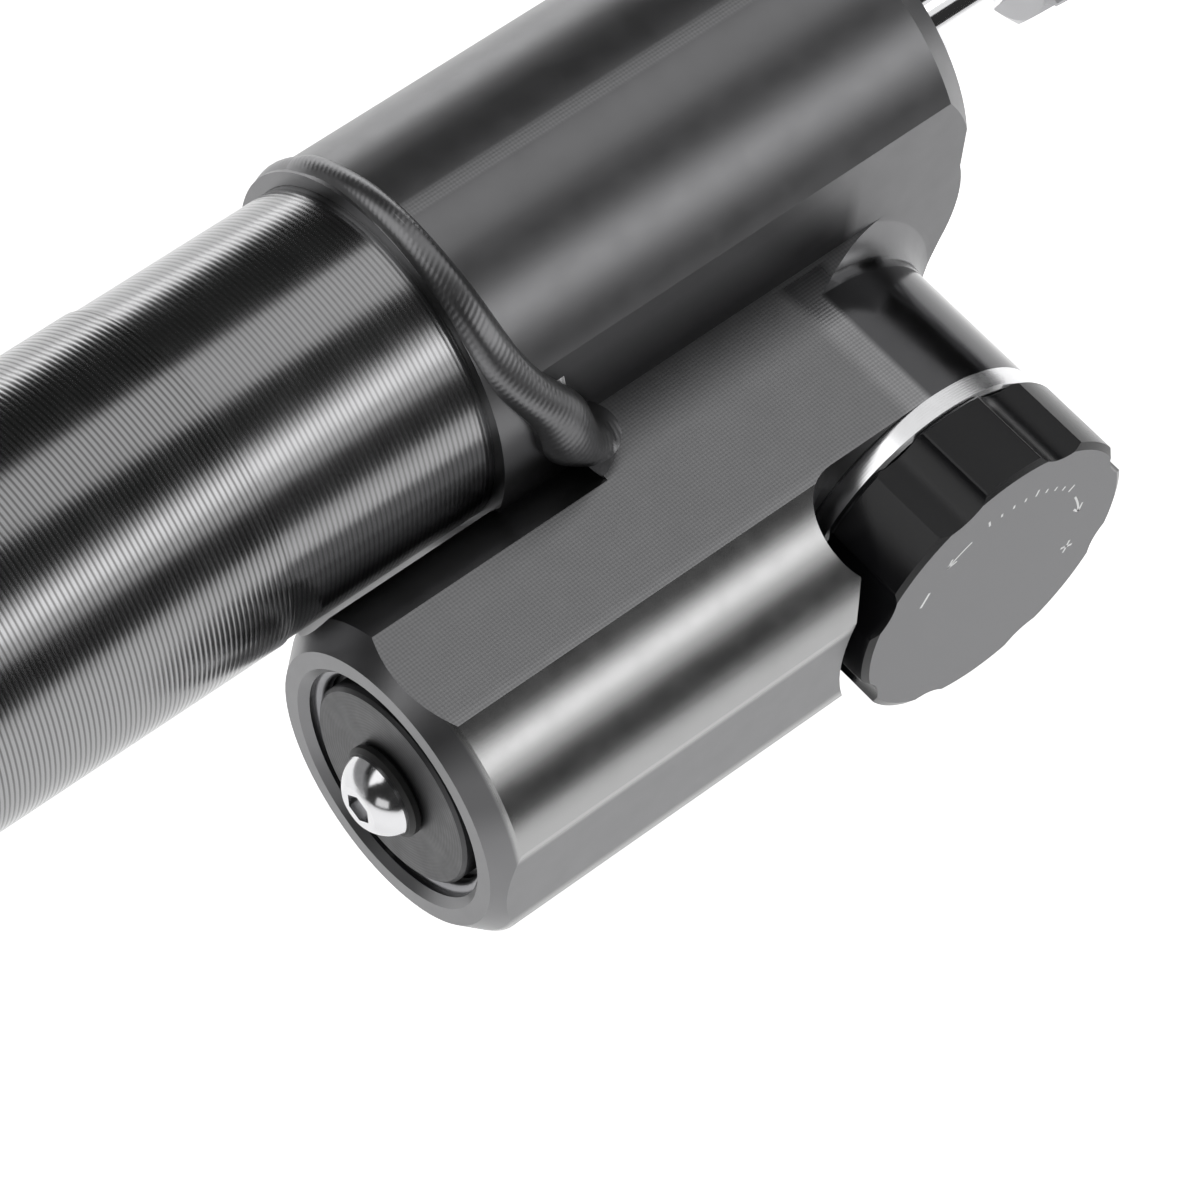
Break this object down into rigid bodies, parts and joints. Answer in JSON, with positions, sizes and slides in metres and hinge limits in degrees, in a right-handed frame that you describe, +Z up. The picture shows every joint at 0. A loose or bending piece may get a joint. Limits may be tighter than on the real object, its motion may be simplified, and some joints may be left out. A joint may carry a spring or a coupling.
{
  "type": "steering damper",
  "caption": "Linear hydraulic steering damper with a tube, chromed rod and ball rod end, a side reservoir with a gas piston and a fluted knob that sets the needle valve",
  "frame": {"origin": "On the damper axis, midway along the stretch of tube that the clamp can hold", "axes": "+X along the rod out of the head toward the rod eye, +Z up out of the milled flat on the reservoir, the knob faces -Y"},
  "size_m": [0.235, 0.059, 0.0486],
  "materials": {
    "head_black": "black anodised, satin gloss",
    "tube_black": "black anodised over fine turned grooves",
    "plug_black": "black anodised, smooth",
    "knob_black": "black anodised sides, grey matt face",
    "collar_bright": "bright turned",
    "screw_steel": "bright stainless",
    "ring_steel": "dark spring steel",
    "rod_chrome": "hard chromed and ground",
    "plated_steel": "zinc plated",
    "ball_steel": "polished",
    "valve_steel": "turned",
    "piston_alloy": "turned",
    "guide_bronze": "turned bronze",
    "slip_plastic": "plain bearing plastic",
    "rubber_black": "plain"
  },
  "bodies": {
    "housing": {"head_body": "head_black", "damper_tube": "tube_black", "end_cap": "tube_black", "end_cap_o_ring": "rubber_black", "rod_guide": "guide_bronze", "rod_seal": "rubber_black", "rod_wiper": "rubber_black", "wiper_clip": "ring_steel", "reservoir_plug": "plug_black", "plug_o_ring": "rubber_black", "snap_ring": "ring_steel", "bleed_washer": "rubber_black", "bleed_screw": "screw_steel", "valve_seat": "valve_steel", "valve_cartridge": "valve_steel", "cartridge_o_ring": "rubber_black", "detent_collar": "collar_bright", "spindle_clip": "ring_steel"},
    "knob_set": {"knob": "knob_black", "knob_grub_screw": "screw_steel", "detent_ball": "ball_steel", "detent_spring": "ring_steel", "knob_spindle": "valve_steel", "spindle_o_ring": "rubber_black"},
    "needle": {"needle_valve": "valve_steel"},
    "gas_piston": {"floating_piston": "piston_alloy", "floating_o_ring": "rubber_black"},
    "band": {"piston_band": "slip_plastic"},
    "rod": {"piston": "piston_alloy", "front_shim": "ball_steel", "back_shim": "ball_steel", "piston_nut": "plated_steel", "piston_rod": "rod_chrome", "bump_rubber": "rubber_black", "jam_nut": "plated_steel", "rod_end_body": "plated_steel", "rod_end_liner": "slip_plastic"},
    "ball": {"rod_end_ball": "ball_steel"}
  },
  "joints": [
    {"name": "rod_slide", "type": "slide", "parent": "housing", "child": "band", "axis": [1, 0, 0], "range_m": [0, 0.075]},
    {"name": "rod_turn", "type": "hinge", "parent": "band", "child": "rod", "pos_m": [0, 0, 0], "axis": [1, 0, 0], "continuous": true},
    {"name": "ball_tilt", "type": "hinge", "parent": "rod", "child": "ball", "pos_m": [0.1745, 0, 0], "axis": [0, 1, 0], "range_deg": [-13, 13]},
    {"name": "knob_turn", "type": "hinge", "parent": "housing", "child": "knob_set", "pos_m": [0.0979, 0, -0.0158], "axis": [0, -1, 0], "range_deg": [-165, 165]},
    {"name": "needle_slide", "type": "slide", "parent": "knob_set", "child": "needle", "axis": [0, -1, 0], "range_m": [-0.00055, 0.00055]},
    {"name": "gas_slide", "type": "slide", "parent": "housing", "child": "gas_piston", "axis": [1, 0, 0], "range_m": [0, 0.01735]}
  ],
  "couplings": [
    {"joint": "needle_slide", "follows": "knob_turn", "m_per_rad": 0.00019098},
    {"joint": "gas_slide", "follows": "rod_slide", "ratio": 0.23114}
  ]
}
